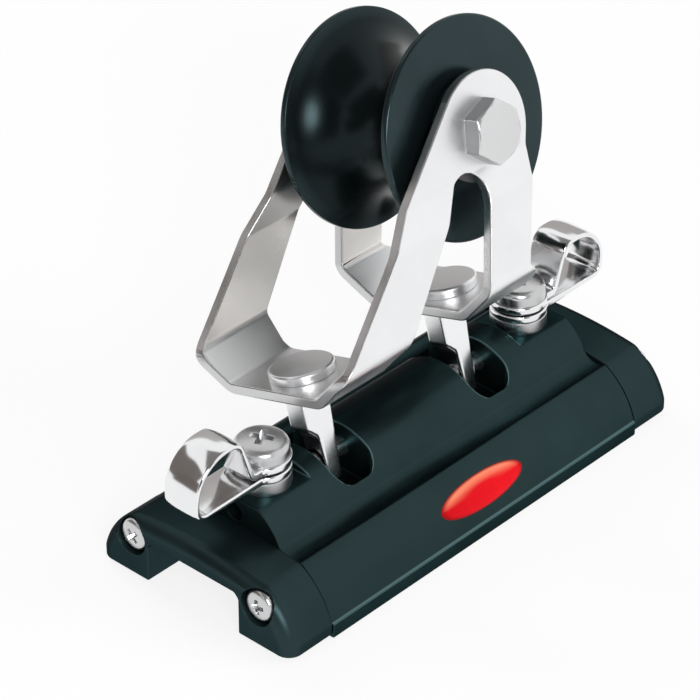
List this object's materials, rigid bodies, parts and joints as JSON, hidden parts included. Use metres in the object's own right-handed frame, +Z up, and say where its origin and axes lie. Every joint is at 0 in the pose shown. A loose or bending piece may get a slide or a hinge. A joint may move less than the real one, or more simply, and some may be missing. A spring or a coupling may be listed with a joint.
{
  "type": "genoa car",
  "caption": "Ball-bearing genoa car for a sail track: black body with end caps, a leaning stainless cage with a wide black sheave, and a strip eye for a control line at each end.",
  "frame": {"origin": "on the underside, in the middle of the open track channel's length and width", "axes": "+X along the track towards the rear end, where the sheave stands; +Y to the far side, the side the cage leans to at rest; +Z up"},
  "size_m": [0.135, 0.0754, 0.1047],
  "materials": {
    "body": "black hard anodised, satin",
    "cap": "black moulded, satin",
    "bright_stainless": "electropolished stainless steel",
    "plain_stainless": "ground stainless steel",
    "sheave": "black, glossy",
    "bush": "dark bearing plastic",
    "balls": "moulded bearing balls"
  },
  "bodies": {
    "car": {"car_body": "body", "front_end_cap": "cap", "rear_end_cap": "cap", "front_near_cap_screw": "bright_stainless", "front_far_cap_screw": "bright_stainless", "rear_near_cap_screw": "bright_stainless", "rear_far_cap_screw": "bright_stainless", "near_ball_circuit": "balls", "far_ball_circuit": "balls", "pivot_rod": "plain_stainless", "front_control_eye": "bright_stainless", "rear_control_eye": "bright_stainless", "front_eye_spacer": "bright_stainless", "rear_eye_spacer": "bright_stainless", "front_clip_screw": "bright_stainless", "rear_clip_screw": "bright_stainless"},
    "cage": {"sheave_cage": "bright_stainless", "front_lug": "bright_stainless", "rear_lug": "bright_stainless", "front_rivet": "bright_stainless", "rear_rivet": "bright_stainless", "axle_bolt": "bright_stainless", "axle_nut": "bright_stainless", "axle_sleeve": "plain_stainless", "near_thrust_washer": "bush", "far_thrust_washer": "bush"},
    "sheave": {"sheave": "sheave", "sheave_bush": "bush"}
  },
  "joints": [
    {"name": "cage_swing", "type": "hinge", "parent": "car", "child": "cage", "pos_m": [0, 0, 0.019], "axis": [1, 0, 0], "range_deg": [0, 32.8]},
    {"name": "sheave_spin", "type": "hinge", "parent": "cage", "child": "sheave", "pos_m": [0.0242, 0.01683, 0.07618], "axis": [0, 0.9593, -0.2823], "continuous": true}
  ]
}
